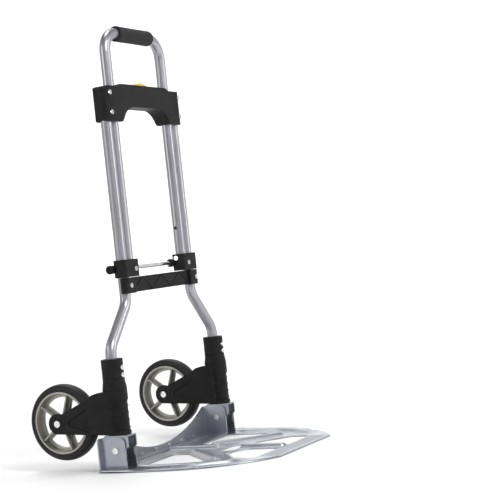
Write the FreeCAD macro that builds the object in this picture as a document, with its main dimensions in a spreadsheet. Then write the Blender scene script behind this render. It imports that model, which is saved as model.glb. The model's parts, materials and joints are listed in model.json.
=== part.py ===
"""Folding luggage cart: two bent frame tubes, a sliding U handle, a folding toe plate and two
wheels that swing in under the frame.

Frame: origin on the underside of the toe plate, midway between the two columns; X across the cart,
-Y towards the tip of the toe plate, +Y towards the wheels, +Z up the frame tubes.  Millimetres.
The right-hand pieces (+X) are drawn, and the left-hand ones are their mirror images.
Cutting tools overrun the faces they open by a millimetre or more.
"""
import FreeCAD, Part
import math
import os
import re
import Sketcher

V = FreeCAD.Vector
doc = FreeCAD.newDocument("luggage_cart")
sheet = doc.addObject("Spreadsheet::Sheet", "dims")

DIMS = {
    # tubes
    "tube_radius": 9.5, "tube_wall": 1.2, "frame_x": 108.5, "handle_x": 88.5, "column_x": 170.0,
    "frame_top": 622.0, "frame_foot": 40.0, "upper_bend_z": 266.0, "bend_angle": 42.0, "bend_radius": 34.0,
    "handle_bar_z": 721.5, "handle_bend": 34.0, "handle_foot": 310.5,
    "pin_height": 607.0, "travel": 222.0, "lock_hole_radius": 3.0, "slide_gap": 0.08, "pin_gap": 0.06,
    "grip_half": 54.0, "grip_radius": 13.5, "grip_round": 3.0,
    # screws with pan heads
    "screw_head": 4.0, "screw_head_high": 1.6, "screw_shank": 2.0, "screw_long": 3.8, "screw_hole": 5.0,
    "socket_radius": 1.9, "socket_deep": 1.2,
    # housing at the top of the frame
    "house_half": 121.0, "house_depth": 15.0, "house_wall": 3.0, "house_bottom": 569.0,
    "house_shoulder": 629.0, "house_top": 633.5, "house_crown": 71.0, "house_step": 79.0,
    "house_low_turn": 8.0, "house_high_turn": 9.0, "house_front_turn": 12.0, "house_rear_turn": 6.0,
    "house_front_soft": 2.5, "house_rear_soft": 6.0, "house_foot_soft": 4.0, "hollow_half": 70.0,
    "arch_top": 595.0, "arch_foot_half": 77.0, "arch_knee_half": 72.0, "arch_knee_z": 577.0,
    "arch_top_half": 38.0, "arch_turn": 41.1,
    "bush_radius": 10.8, "bush_length": 9.0, "house_screw_x": 111.5, "house_screw_low": 584.0,
    "house_screw_high": 617.0,
    # push button, lock bars and return spring
    "button_half": 21.0, "button_depth": 8.0, "button_top": 639.0, "button_travel": 5.0, "crown_radius": 55.0,
    "leg_half": 18.0, "leg_front": 4.0, "leg_back": 7.0, "leg_low": 604.0,
    "lock_travel": 4.0, "cam_pin_x": 14.0, "cam_pin_z": 610.0, "cam_pin_radius": 1.6,
    "lock_bar_start": 9.0, "lock_bar_end": 69.0, "lock_bar_half": 7.0, "lock_bar_depth": 3.0,
    "lock_pin_radius": 2.8, "lock_gap": 0.4, "pin_way_long": 12.0,
    "spring_y": -7.2, "spring_z": 599.0, "spring_long": 22.4, "spring_pitch": 3.4, "spring_radius": 3.4,
    "spring_wire": 0.5,
    # collars, tie rod and crossbar
    "collar_inner": 75.0, "collar_outer": 121.0, "collar_low": 309.0, "collar_high": 338.5,
    "collar_turn": 9.0,
    "collar_front": 13.5, "collar_back": 12.0, "side_screw_y": 2.5, "side_screw_z": 331.5,
    "rod_radius": 4.0, "rod_y": 13.9, "rod_z": 324.0, "rod_lug": 6.8, "knob_radius": 7.2, "knob_long": 5.5,
    "knob_cap": 2.0, "dimple_radius": 4.2, "dimple_deep": 0.9,
    "bar_front": 9.0, "bar_web": 3.0, "bar_low": 283.0, "bar_high": 308.2, "bar_screw_z": 295.0,
    "flange_thick": 2.0, "rib_thick": 1.4, "rib_high": 0.9,
    "block_inner": 92.0, "block_front": 14.0, "block_back": 1.5, "block_low": 282.0, "block_turn": 9.0,
    # columns: sleeve above, swivelling hub of the fork below
    "sleeve_radius": 18.0, "sleeve_low": 149.5, "sleeve_high": 181.0, "sleeve_turn": 1.5, "hub_low": 58.3,
    "hub_high": 149.0, "hub_radius": 18.2, "hub_lip": 19.8, "hub_bulge": 20.0, "bulge_low": 114.0,
    "bulge_high": 134.0, "groove_first": 68.0, "groove_pitch": 12.0, "swivel_bush": 11.5,
    "column_screw_low": 154.0, "column_screw_high": 166.0, "column_screw_sink": 0.2,
    # fork and wheel
    "axle_y": 104.3, "axle_z": 81.8, "arm_outer": 23.0, "arm_thick": 5.0, "arm_end": 17.0, "arm_turn": 8.0,
    "arm_low": 59.0, "arm_high": 129.0, "arm_knee_y": 40.0, "crown_back": 33.0, "axle_radius": 4.0,
    "axle_head": 5.6, "axle_head_high": 2.6, "seat_deep": 1.5, "seat_gap": 0.6, "recess_start": 44.0,
    "recess_end": 82.0, "recess_deep": 1.5,
    "tyre_radius": 63.7, "tyre_half": 12.5, "tyre_shoulder": 7.0, "tyre_crown": 0.8, "rim_radius": 51.5,
    "rim_seat": 50.3, "rim_flange": 1.5, "rim_inner": 48.6, "rim_throat": 46.8, "rim_web": 41.8,
    "web_half": 1.6, "bead_gap": 0.3,
    "wheel_hub": 11.0, "wheel_hub_half": 14.0, "wheel_bush": 7.0, "bush_proud": 1.0, "spacer_gap": 1.4,
    "spoke_wide": 9.0, "fin_wide": 2.4, "fin_half": 10.5,
    # foot, plate bracket and toe plate
    "pivot_z": 33.3, "pivot_radius": 3.0, "pivot_head": 5.0, "pivot_head_high": 2.4, "foot_half": 13.2,
    "foot_wall": 2.0, "foot_top": 57.3, "foot_front": 23.0, "foot_back": 22.0,
    "ear_outer": 16.0, "ear_wall": 2.5, "ear_front": 18.0, "ear_back": 29.5, "ear_low": 2.6,
    "ear_high": 54.0, "ear_round": 9.0, "wall_half": 194.5, "wall_mid_high": 12.5, "wall_turn": 6.0,
    "wall_arc_half": 152.0, "wall_arc_radius": 300.0, "beam_foot_y": 12.0, "beam_foot_thick": 2.0,
    "plate_half": 203.0, "plate_back": 30.5, "plate_turn": 10.0, "plate_corner": 9.0,
    "shoulder_half": 192.0, "shoulder_y": 122.0, "tip_half": 97.0, "tip_y": 250.0, "side_radius": 860.0,
    "nose_radius": 190.0, "band_outer": 12.0, "band_inner": 34.0, "band_front": 196.0, "band_rear": 22.0,
    "band_high": 6.5, "plate_high": 8.0, "sheet_high": 2.6, "bead_radius": 6.0, "rivet_pitch": 44.0,
    "rivet_radius": 2.8, "rivet_head": 1.4, "rivet_z": 8.0,
}
for row, (alias, size) in enumerate(DIMS.items(), start=1):
    sheet.set(f"A{row}", alias)
    sheet.set(f"B{row}", str(size))
    sheet.setAlias(f"B{row}", alias)
doc.recompute()


def linked(text):
    """An expression in plain aliases, with each alias pointed at the spreadsheet."""
    return re.sub(r"[a-z_]+", lambda word: "dims." + word.group() if word.group() in DIMS else word.group(),
                  str(text))


def number(text):
    value = sheet.evalExpression(linked(text))
    return float(getattr(value, "Value", value))


def bind(item, prop, text):
    item.setExpression(prop, linked(text))


def place(item, x, y, z, turn=None):
    """Put an item at a bound place; turn is (axis, degrees)."""
    if turn:
        item.Placement = FreeCAD.Placement(V(), FreeCAD.Rotation(turn[0], turn[1]))
    for prop, text in zip(("x", "y", "z"), (x, y, z)):
        bind(item, f"Placement.Base.{prop}", text)
    return item


def box(name, x, y, z):
    """A box between bound low and high faces."""
    item = doc.addObject("Part::Box", name)
    for prop, (low, high) in zip(("Length", "Width", "Height"), (x, y, z)):
        bind(item, prop, f"({high}) - ({low})")
    return place(item, x[0], y[0], z[0])


ROD_TURNS = {"x": (V(0, 1, 0), 90), "y": (V(1, 0, 0), -90), "z": None}


def rod(name, radius, axis, start, length):
    """A round bar from its start point along +x, +y or +z."""
    item = doc.addObject("Part::Cylinder", name)
    bind(item, "Radius", radius)
    bind(item, "Height", length)
    return place(item, *start, turn=ROD_TURNS[axis])


def fuse(name, *pieces):
    item = doc.addObject("Part::MultiFuse", name)
    item.Shapes = list(pieces)
    return item


def group(name, *pieces):
    """Separate solids kept together as one node."""
    item = doc.addObject("Part::Compound", name)
    item.Links = list(pieces)
    return item


def common(name, *pieces):
    item = doc.addObject("Part::MultiCommon", name)
    item.Shapes = list(pieces)
    return item


def cut(name, base, *tools):
    item = doc.addObject("Part::Cut", name)
    item.Base = base
    item.Tool = tools[0] if len(tools) == 1 else fuse(name + "_tools", *tools)
    return item


def mirrored(name, source):
    item = doc.addObject("Part::Mirroring", name)
    item.Source = source
    item.Base = V()
    item.Normal = V(1, 0, 0)
    return item


def ring(name, outer, inner, axis, start, length):
    return cut(name, rod(name + "_outer", outer, axis, start, length),
               rod(name + "_bore", inner, axis, start, length))


def origin_plane(body, role):
    return next(feature for feature in body.Origin.OriginFeatures if feature.Role == role)


def new_sketch(body, name, role, offset="0"):
    sketch = body.newObject("Sketcher::SketchObject", name)
    sketch.AttachmentSupport = [(origin_plane(body, role), "")]
    sketch.MapMode = "FlatFace"
    bind(sketch, "AttachmentOffset.Base.z", offset)
    return sketch


def fix_point(sketch, edge, end, x, y):
    """Bind one end of an edge to a place measured from the sketch's origin."""
    for kind, text in (("DistanceX", x), ("DistanceY", y)):
        index = sketch.addConstraint(Sketcher.Constraint(kind, -1, 1, edge, end, number(text)))
        sketch.setExpression(f"Constraints[{index}]", linked(text))


def arc_between(start, end, radius):
    """An arc of the given radius; a negative radius bulges to the right of the way from start to end."""
    chord = end - start
    middle = (start + end) * 0.5
    side = V(-chord.y, chord.x, 0).normalize()
    rise = math.sqrt(max(radius * radius - chord.Length ** 2 / 4.0, 0.0))
    centre = middle + side * math.copysign(rise, -radius)
    first, last = (end, start) if radius > 0 else (start, end)
    circle = Part.Circle(centre, V(0, 0, 1), abs(radius))
    angles = [math.atan2(point.y - centre.y, point.x - centre.x) for point in (first, last)]
    return Part.ArcOfCircle(circle, angles[0], angles[1])


def draw_outline(sketch, points):
    """A closed outline; each point is (x, y) or (x, y, radius), where the radius curves the edge after it."""
    places = [V(number(point[0]), number(point[1]), 0) for point in points]
    ends = []
    for index, point in enumerate(points):
        start, end = places[index], places[(index + 1) % len(points)]
        if len(point) == 2:
            edge = sketch.addGeometry(Part.LineSegment(start, end), False)
            ends.append((edge, 1, 2))
        else:
            radius = number(point[2])
            edge = sketch.addGeometry(arc_between(start, end, radius), False)
            ends.append((edge, 2, 1) if radius > 0 else (edge, 1, 2))
    for index, point in enumerate(points):
        edge, first, last = ends[index]
        following, next_first, _ = ends[(index + 1) % len(points)]
        sketch.addConstraint(Sketcher.Constraint("Coincident", edge, last, following, next_first))
        fix_point(sketch, edge, first, point[0], point[1])
        if len(point) == 3:
            radius = abs(number(point[2]))
            bound = sketch.addConstraint(Sketcher.Constraint("Radius", edge, radius))
            sketch.setExpression(f"Constraints[{bound}]", linked(f"abs({point[2]})"))


def draw_circle(sketch, x, y, radius):
    centre = V(number(x), number(y), 0)
    edge = sketch.addGeometry(Part.Circle(centre, V(0, 0, 1), number(radius)), False)
    fix_point(sketch, edge, 3, x, y)
    bound = sketch.addConstraint(Sketcher.Constraint("Radius", edge, number(radius)))
    sketch.setExpression(f"Constraints[{bound}]", linked(radius))


def slab(name, role, points, low, high):
    """A closed outline padded between two bound planes; role is the plane it is drawn on."""
    body = doc.addObject("PartDesign::Body", name)
    offset = f"-({high})" if role == "XZ_Plane" else low
    sketch = new_sketch(body, name + "_sketch", role, offset)
    draw_outline(sketch, points)
    pad = body.newObject("PartDesign::Pad", name + "_pad")
    pad.Profile = sketch
    bind(pad, "Length", f"({high}) - ({low})")
    return body


def turned(name, points, x, y, z, turn=None):
    """A round piece: an outline of (radius, height) points revolved about the body's Z axis."""
    body = doc.addObject("PartDesign::Body", name)
    sketch = new_sketch(body, name + "_sketch", "XZ_Plane")
    draw_outline(sketch, points)
    revolution = body.newObject("PartDesign::Revolution", name + "_turn")
    revolution.Profile = sketch
    revolution.ReferenceAxis = (sketch, ["V_Axis"])
    revolution.Angle = 360
    return place(body, x, y, z, turn)


def tube(name, start, edges):
    """A tube swept along lines and arcs in the XZ plane.

    start is (x, z), and each edge is (x, z) for a line or (x, z, centre x, turn) for an arc,
    where turn is +1 for anticlockwise in the sketch.
    """
    body = doc.addObject("PartDesign::Body", name)
    profile = new_sketch(body, name + "_profile", "XY_Plane", start[1])
    draw_circle(profile, start[0], "0", "tube_radius")
    draw_circle(profile, start[0], "0", "tube_radius - tube_wall")
    path = new_sketch(body, name + "_path", "XZ_Plane")
    here = start
    joint = None
    for edge in edges:
        begin, end = (V(number(point[0]), number(point[1]), 0) for point in (here, edge))
        if len(edge) == 2:
            index = path.addGeometry(Part.LineSegment(begin, end), False)
            first, last = 1, 2
        else:
            middle_x = number(edge[2])
            chord = end - begin
            # the centre lies on the chord's perpendicular bisector, at the bound x
            middle = (begin + end) * 0.5
            centre = V(middle_x, middle.y - (middle_x - middle.x) * chord.x / chord.y, 0)
            circle = Part.Circle(centre, V(0, 0, 1), (begin - centre).Length)
            ordered = (begin, end) if edge[3] > 0 else (end, begin)
            angles = [math.atan2(point.y - centre.y, point.x - centre.x) for point in ordered]
            index = path.addGeometry(Part.ArcOfCircle(circle, angles[0], angles[1]), False)
            first, last = (1, 2) if edge[3] > 0 else (2, 1)
            bound = path.addConstraint(Sketcher.Constraint("DistanceX", -1, 1, index, 3, middle_x))
            path.setExpression(f"Constraints[{bound}]", linked(edge[2]))
        if joint is None:
            fix_point(path, index, first, here[0], here[1])
        else:
            path.addConstraint(Sketcher.Constraint("Coincident", joint[0], joint[1], index, first))
        fix_point(path, index, last, edge[0], edge[1])
        joint = (index, last)
        here = edge
    pipe = body.newObject("PartDesign::AdditivePipe", name + "_pipe")
    pipe.Profile = profile
    pipe.Spine = (path, [f"Edge{index + 1}" for index in range(len(edges))])
    return body


def screw(name, x, y, z):
    """A pan-head screw along Y: its head on the face at y, its shank going in towards +Y."""
    head = rod(name + "_head", "screw_head", "y", (x, f"({y}) - screw_head_high", z), "screw_head_high")
    shank = rod(name + "_shank", "screw_shank", "y", (x, y, z), "screw_long")
    socket = rod(name + "_socket", "socket_radius", "y",
                 (x, f"({y}) - screw_head_high - 1", z), "socket_deep + 1")
    return cut(name, fuse(name + "_solid", head, shank), socket)


def screw_hole(name, x, y, z):
    return rod(name, "screw_shank", "y", (x, f"({y}) - 1", z), "screw_hole")


# ---------------------------------------------------------------- frame tubes
RUN = "(column_x - frame_x)"
LOWER_BEND = f"(upper_bend_z - {RUN} / tan(bend_angle))"
TANGENT = "(bend_radius * tan(bend_angle / 2))"
STEP_X = f"({TANGENT} * sin(bend_angle))"
STEP_Z = f"({TANGENT} * cos(bend_angle))"

frame_tube_right = tube("frame_tube_right", ("frame_x", "frame_top"), [
    ("frame_x", f"upper_bend_z + {TANGENT}"),
    (f"frame_x + {STEP_X}", f"upper_bend_z - {STEP_Z}", "frame_x + bend_radius", 1),
    (f"column_x - {STEP_X}", f"{LOWER_BEND} + {STEP_Z}"),
    ("column_x", f"{LOWER_BEND} - {TANGENT}", "column_x - bend_radius", -1),
    ("column_x", "frame_foot"),
])
frame_tube_left = mirrored("frame_tube_left", frame_tube_right)

# ---------------------------------------------------------------- sliding handle
handle_raw = tube("handle_raw", ("-handle_x", "handle_foot"), [
    ("-handle_x", "handle_bar_z - handle_bend"),
    ("-handle_x + handle_bend", "handle_bar_z", "-handle_x + handle_bend", -1),
    ("handle_x - handle_bend", "handle_bar_z"),
    ("handle_x", "handle_bar_z - handle_bend", "handle_x - handle_bend", -1),
    ("handle_x", "handle_foot"),
])
lock_holes = []
for side in ("", "-"):
    for label, height in (("stored", "pin_height"), ("raised", "pin_height - travel")):
        start = "handle_x - 14" if side == "" else "-handle_x"
        lock_holes.append(rod(f"lock_hole_{label}{'_left' if side else ''}", "lock_hole_radius", "x",
                              (start, "0", height), "14"))
handle_tube = cut("handle_tube", handle_raw, *lock_holes)

grip = turned("grip", [
    ("tube_radius", "-grip_half"), ("grip_radius - grip_round", "-grip_half", "-grip_round"),
    ("grip_radius", "-grip_half + grip_round"), ("grip_radius", "grip_half - grip_round", "-grip_round"),
    ("grip_radius - grip_round", "grip_half"), ("tube_radius", "grip_half"),
], "0", "0", "handle_bar_z", (V(0, 1, 0), 90))

# ---------------------------------------------------------------- collars and tie rod
collar_plan = slab("collar_plan", "XY_Plane", [
    ("collar_inner + 5", "-collar_front"), ("collar_outer - 6", "-collar_front", "-6"),
    ("collar_outer", "-collar_front + 6"), ("collar_outer", "collar_back - collar_turn", "-collar_turn"),
    ("collar_outer - collar_turn", "collar_back"), ("collar_inner + 4", "collar_back", "-4"),
    ("collar_inner", "collar_back - 4"), ("collar_inner", "-collar_front + 5", "-5"),
], "collar_low", "collar_high")
collar_lug = rod("collar_lug", "rod_lug", "x", ("collar_inner + 1", "rod_y", "rod_z"),
                 "collar_outer - collar_inner - 2")
collar_right = cut(
    "collar_right", fuse("collar_block", collar_plan, collar_lug),
    rod("collar_frame_bore", "tube_radius + slide_gap", "z", ("frame_x", "0", "collar_low - 1"), "40"),
    rod("collar_handle_bore", "tube_radius", "z", ("handle_x", "0", "handle_foot"), "40"),
    rod("collar_rod_bore", "rod_radius", "x", ("collar_inner - 1", "rod_y", "rod_z"), "60"),
    screw_hole("collar_front_hole", "handle_x", "-collar_front", "rod_z - 2"),
    rod("collar_side_hole", "screw_shank", "x", ("collar_inner - 1", "side_screw_y", "side_screw_z"),
        "screw_hole"),
)
collar_left = mirrored("collar_left", collar_right)
tie_rod = rod("tie_rod", "rod_radius", "x", ("-collar_outer - knob_long + knob_cap", "rod_y", "rod_z"),
              "2 * (collar_outer + knob_long - knob_cap)")


def end_knob(name, start, bore_start, dimple_start):
    """A capped knob pressed on the rod's end, with a shallow dimple in its face."""
    return cut(name, rod(name + "_body", "knob_radius", "x", (start, "rod_y", "rod_z"), "knob_long"),
               rod(name + "_bore", "rod_radius", "x", (bore_start, "rod_y", "rod_z"), "knob_long - knob_cap"),
               rod(name + "_dimple", "dimple_radius", "x", (dimple_start, "rod_y", "rod_z"), "dimple_deep"))


def stop_ring(name, start):
    return ring(name, "knob_radius", "rod_radius", "x", (start, "rod_y", "rod_z"), "knob_long")


rod_knobs = group(
    "rod_knobs",
    end_knob("knob_right", "collar_outer", "collar_outer", "collar_outer + knob_long - dimple_deep"),
    end_knob("knob_left", "-collar_outer - knob_long", "-collar_outer - knob_long + knob_cap",
             "-collar_outer - knob_long"))
rod_stops = group("rod_stops", stop_ring("stop_right", "collar_inner - knob_long"),
                  stop_ring("stop_left", "-collar_inner"))


def collar_screw_pair(side):
    """The front screw and the inner-side screw of one collar."""
    sign = "" if side == "right" else "-"
    front = screw(f"collar_front_screw_{side}", f"{sign}handle_x", "-collar_front", "rod_z - 2")
    if side == "right":
        head_start, shank_start = "collar_inner - screw_head_high", "collar_inner"
        socket_start = "collar_inner - screw_head_high - 1"
    else:
        head_start, shank_start = "-collar_inner", "-collar_inner - screw_long"
        socket_start = "-collar_inner + screw_head_high - socket_deep"
    head = rod(f"collar_side_head_{side}", "screw_head", "x",
               (head_start, "side_screw_y", "side_screw_z"), "screw_head_high")
    shank = rod(f"collar_side_shank_{side}", "screw_shank", "x",
                (shank_start, "side_screw_y", "side_screw_z"), "screw_long")
    socket = rod(f"collar_side_socket_{side}", "socket_radius", "x",
                 (socket_start, "side_screw_y", "side_screw_z"), "socket_deep + 1")
    return front, cut(f"collar_side_screw_{side}", fuse(f"collar_side_solid_{side}", head, shank), socket)


collar_screws = group("collar_screws", *collar_screw_pair("right"), *collar_screw_pair("left"))

# ---------------------------------------------------------------- crossbar
BAR_RUN = ("-block_inner - 1", "block_inner + 1")
bar_parts = [box("bar_web", BAR_RUN, ("-bar_front + rib_high", "-bar_front + bar_web"),
                 ("bar_low", "bar_high"))]
for label, low in (("low", "bar_low"), ("high", "bar_high - flange_thick")):
    bar_parts.append(box(f"bar_flange_{label}", BAR_RUN, ("-bar_front", "-block_back"),
                         (low, f"{low} + flange_thick")))
RIB_COUNT = 6
rib_run = 2 * number("block_inner") / RIB_COUNT
rib_rise = number("bar_high - bar_low - rib_thick")
for index in range(RIB_COUNT):
    rib = doc.addObject("Part::Box", f"bar_rib_{index + 1}")
    bind(rib, "Length", f"sqrt((2 * block_inner / {RIB_COUNT}) ^ 2 + (bar_high - bar_low - rib_thick) ^ 2)")
    bind(rib, "Width", "rib_high + 1")
    bind(rib, "Height", "rib_thick")
    rising = index % 2 == 0
    tilt = math.degrees(math.atan2(rib_rise, rib_run)) * (-1 if rising else 1)
    place(rib, f"-block_inner + {index} * 2 * block_inner / {RIB_COUNT}", "-bar_front",
          "bar_low" if rising else "bar_high - rib_thick", (V(0, 1, 0), tilt))
    bar_parts.append(rib)


SADDLE = [
    ("block_inner", "-block_front + 3", "-3"), ("block_inner + 3", "-block_front"),
    ("collar_outer - block_turn", "-block_front", "-block_turn"),
    ("collar_outer", "-block_front + block_turn"),
    ("collar_outer", "-block_back"), ("block_inner", "-block_back"),
]
saddle_right = slab("saddle_right", "XY_Plane", SADDLE, "block_low", "bar_high")
saddle_left = mirrored("saddle_left", saddle_right)
crossbar = cut(
    "crossbar", fuse("crossbar_body", *bar_parts, saddle_right, saddle_left),
    rod("bar_bore_right", "tube_radius", "z", ("frame_x", "0", "block_low - 1"), "30"),
    rod("bar_bore_left", "tube_radius", "z", ("-frame_x", "0", "block_low - 1"), "30"),
    screw_hole("bar_screw_hole_right", "frame_x", "-block_front", "bar_screw_z"),
    screw_hole("bar_screw_hole_left", "-frame_x", "-block_front", "bar_screw_z"),
)
crossbar_screws = group("crossbar_screws",
                        screw("crossbar_screw_right", "frame_x", "-block_front", "bar_screw_z"),
                        screw("crossbar_screw_left", "-frame_x", "-block_front", "bar_screw_z"))

# ---------------------------------------------------------------- housing
HOUSE_FACE = [
    ("-house_half", "house_bottom + house_low_turn", "-house_low_turn"),
    ("-house_half + house_low_turn", "house_bottom"),
    ("-arch_foot_half - 1.5", "house_bottom", "-2"), ("-arch_foot_half", "house_bottom + 1.5"),
    ("-arch_knee_half", "arch_knee_z", "arch_turn"), ("-arch_top_half", "arch_top"),
    ("arch_top_half", "arch_top", "arch_turn"), ("arch_knee_half", "arch_knee_z"),
    ("arch_foot_half", "house_bottom + 1.5", "-2"), ("arch_foot_half + 1.5", "house_bottom"),
    ("house_half - house_low_turn", "house_bottom", "-house_low_turn"),
    ("house_half", "house_bottom + house_low_turn"),
    ("house_half", "house_shoulder - house_high_turn", "-house_high_turn"),
    ("house_half - house_high_turn", "house_shoulder"),
    ("house_step", "house_shoulder"), ("house_crown", "house_top"), ("-house_crown", "house_top"),
    ("-house_step", "house_shoulder"),
    ("-house_half + house_high_turn", "house_shoulder", "-house_high_turn"),
    ("-house_half", "house_shoulder - house_high_turn"),
]
HOUSE_PLAN = [
    ("-house_half + house_front_turn", "-house_depth"),
    ("house_half - house_front_turn", "-house_depth", "-house_front_turn"),
    ("house_half", "-house_depth + house_front_turn"),
    ("house_half", "house_depth - house_rear_turn", "-house_rear_turn"),
    ("house_half - house_rear_turn", "house_depth"),
    ("-house_half + house_rear_turn", "house_depth", "-house_rear_turn"),
    ("-house_half", "house_depth - house_rear_turn"),
    ("-house_half", "-house_depth + house_front_turn", "-house_front_turn"),
]


def house_section(top):
    """The upper part of the housing's rounded cross-section, from its rear wall over to its front wall."""
    return [
        ("house_depth", f"{top} - house_rear_soft", "-house_rear_soft"),
        ("house_depth - house_rear_soft", top),
        ("-house_depth + house_front_soft", top, "-house_front_soft"),
        ("-house_depth", f"{top} - house_front_soft"),
    ]


HOUSE_END = [
    ("-house_depth", "house_bottom + house_front_soft", "-house_front_soft"),
    ("-house_depth + house_front_soft", "house_bottom"),
    ("house_depth - house_foot_soft", "house_bottom", "-house_foot_soft"),
    ("house_depth", "house_bottom + house_foot_soft"),
] + house_section("house_shoulder")
HOUSE_CROWN = [("-house_depth", "arch_knee_z"), ("house_depth", "arch_knee_z")] + house_section("house_top")


def house_shell(name, low, high):
    """One half of the housing: front and back meet on the plane through the tubes."""
    face = slab(name + "_face", "XZ_Plane", HOUSE_FACE, low, high)
    plan = slab(name + "_plan", "XY_Plane", HOUSE_PLAN, "house_bottom - 1", "house_top + 1")
    section = fuse(name + "_section",
                   slab(name + "_end", "YZ_Plane", HOUSE_END, "-house_half - 1", "house_half + 1"),
                   slab(name + "_crown", "YZ_Plane", HOUSE_CROWN, "-house_step", "house_step"))
    hollow = box(name + "_hollow", ("-hollow_half", "hollow_half"),
                 ("-house_depth + house_wall", "house_depth - house_wall"),
                 ("arch_top + house_wall", "house_shoulder - 0.5"))
    slot = box(name + "_slot", ("-button_half - 0.5", "button_half + 0.5"),
               ("-button_depth - 0.5", "button_depth + 0.5"), ("house_shoulder - 1", "house_top + 1"))
    tools = [hollow, slot]
    for side, sign in (("right", ""), ("left", "-")):
        tools.append(rod(f"{name}_socket_{side}", "tube_radius", "z",
                         (f"{sign}frame_x", "0", "house_bottom - 1"), "frame_top - house_bottom + 1"))
        tools.append(rod(f"{name}_pass_{side}", "bush_radius", "z",
                         (f"{sign}handle_x", "0", "house_bottom - 1"), "house_top - house_bottom + 2"))
        way_start = "hollow_half - 2" if side == "right" else "-hollow_half + 2 - pin_way_long"
        tools.append(rod(f"{name}_pin_way_{side}", "lock_pin_radius + 0.3", "x",
                         (way_start, "0", "pin_height"), "pin_way_long"))
        if name == "housing_front":
            for level in ("low", "high"):
                tools.append(screw_hole(f"{name}_screw_hole_{side}_{level}", f"{sign}house_screw_x",
                                        "-house_depth", f"house_screw_{level}"))
    return cut(name, common(name + "_block", common(name + "_outline", face, plan), section), *tools)


housing_front = house_shell("housing_front", "-house_depth", "0")
housing_rear = house_shell("housing_rear", "0", "house_depth")
housing_screws = group("housing_screws", *[
    screw(f"housing_screw_{side}_{level}", f"{sign}house_screw_x", "-house_depth", f"house_screw_{level}")
    for side, sign in (("right", ""), ("left", "-")) for level in ("low", "high")])


def handle_bush(side, sign, level, start):
    """A guide bush for one handle leg, notched where the frame tube passes beside it."""
    name = f"handle_bush_{side}_{level}"
    sleeve = ring(name + "_sleeve", "bush_radius", "tube_radius + slide_gap", "z",
                  (f"{sign}handle_x", "0", start), "bush_length")
    notch = rod(name + "_notch", "tube_radius", "z", (f"{sign}frame_x", "0", start), "bush_length")
    return cut(name, sleeve, notch)


handle_bushes = group("handle_bushes", *[
    handle_bush(side, sign, level, start)
    for side, sign in (("right", ""), ("left", "-"))
    for level, start in (("low", "house_bottom"), ("high", "house_shoulder - bush_length"))])

# ---------------------------------------------------------------- button and lock bars
button_cap = common(
    "button_cap",
    box("button_block", ("-button_half", "button_half"), ("-button_depth", "button_depth"),
        ("house_shoulder - 6", "button_top")),
    rod("button_crown", "crown_radius", "y", ("0", "-button_depth", "button_top - crown_radius"),
        "2 * button_depth"))
button_leg = box("button_leg", ("-leg_half", "leg_half"), ("leg_front", "leg_back"),
                 ("leg_low", "house_shoulder - 5"))
cam_pins = [rod(f"cam_pin_{side}", "cam_pin_radius", "y",
                (f"{sign}cam_pin_x", "-lock_bar_depth", "cam_pin_z"), "lock_bar_depth + leg_front + 1")
            for side, sign in (("right", ""), ("left", "-"))]
release_button = fuse("release_button", button_cap, button_leg, *cam_pins)

SLOT = "(cam_pin_radius + 0.4)"
slot_angle = math.degrees(math.atan2(number("button_travel"), number("lock_travel")))
slot_box = doc.addObject("Part::Box", "slot_box")
bind(slot_box, "Length", "sqrt(button_travel ^ 2 + lock_travel ^ 2)")
bind(slot_box, "Width", "2 * lock_bar_depth + 4")
bind(slot_box, "Height", f"2 * {SLOT}")
slot_turn = FreeCAD.Rotation(V(0, 1, 0), slot_angle)
slot_box.Placement = FreeCAD.Placement(V(), slot_turn)
down = slot_turn.multVec(V(0, 0, -1))
bind(slot_box, "Placement.Base.x", f"cam_pin_x + ({down.x}) * {SLOT}")
bind(slot_box, "Placement.Base.y", "-lock_bar_depth - 2")
bind(slot_box, "Placement.Base.z", f"cam_pin_z + ({down.z}) * {SLOT}")
lock_plate = box("lock_plate", ("lock_bar_start", "lock_bar_end"), ("-lock_bar_depth", "lock_bar_depth"),
                 ("pin_height - lock_bar_half", "pin_height + lock_bar_half"))
lock_tip = rod("lock_tip", "lock_pin_radius", "x", ("lock_bar_end - 1", "0", "pin_height"),
               "handle_x - tube_radius - lock_gap - lock_bar_end + 1")
lock_pin_right = cut(
    "lock_pin_right", fuse("lock_bar", lock_plate, lock_tip), slot_box,
    rod("slot_start", SLOT, "y",
        ("cam_pin_x", "-lock_bar_depth - 2", "cam_pin_z"), "2 * lock_bar_depth + 4"),
    rod("slot_end", SLOT, "y",
        ("cam_pin_x + lock_travel", "-lock_bar_depth - 2", "cam_pin_z - button_travel"),
        "2 * lock_bar_depth + 4"))
lock_pin_left = mirrored("lock_pin_left", lock_pin_right)

spring_helix = doc.addObject("Part::Helix", "spring_helix")
bind(spring_helix, "Pitch", "spring_pitch")
bind(spring_helix, "Height", "spring_long")
bind(spring_helix, "Radius", "spring_radius")
place(spring_helix, "0", "spring_y", "spring_z")
spring_section = doc.addObject("Part::Circle", "spring_section")
bind(spring_section, "Radius", "spring_wire")
place(spring_section, "spring_radius", "spring_y", "spring_z", (V(1, 0, 0), 90))
button_spring = doc.addObject("Part::Sweep", "button_spring")
button_spring.Sections = [spring_section]
button_spring.Spine = (spring_helix, ["Edge1"])
button_spring.Solid = True
button_spring.Frenet = True

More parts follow.
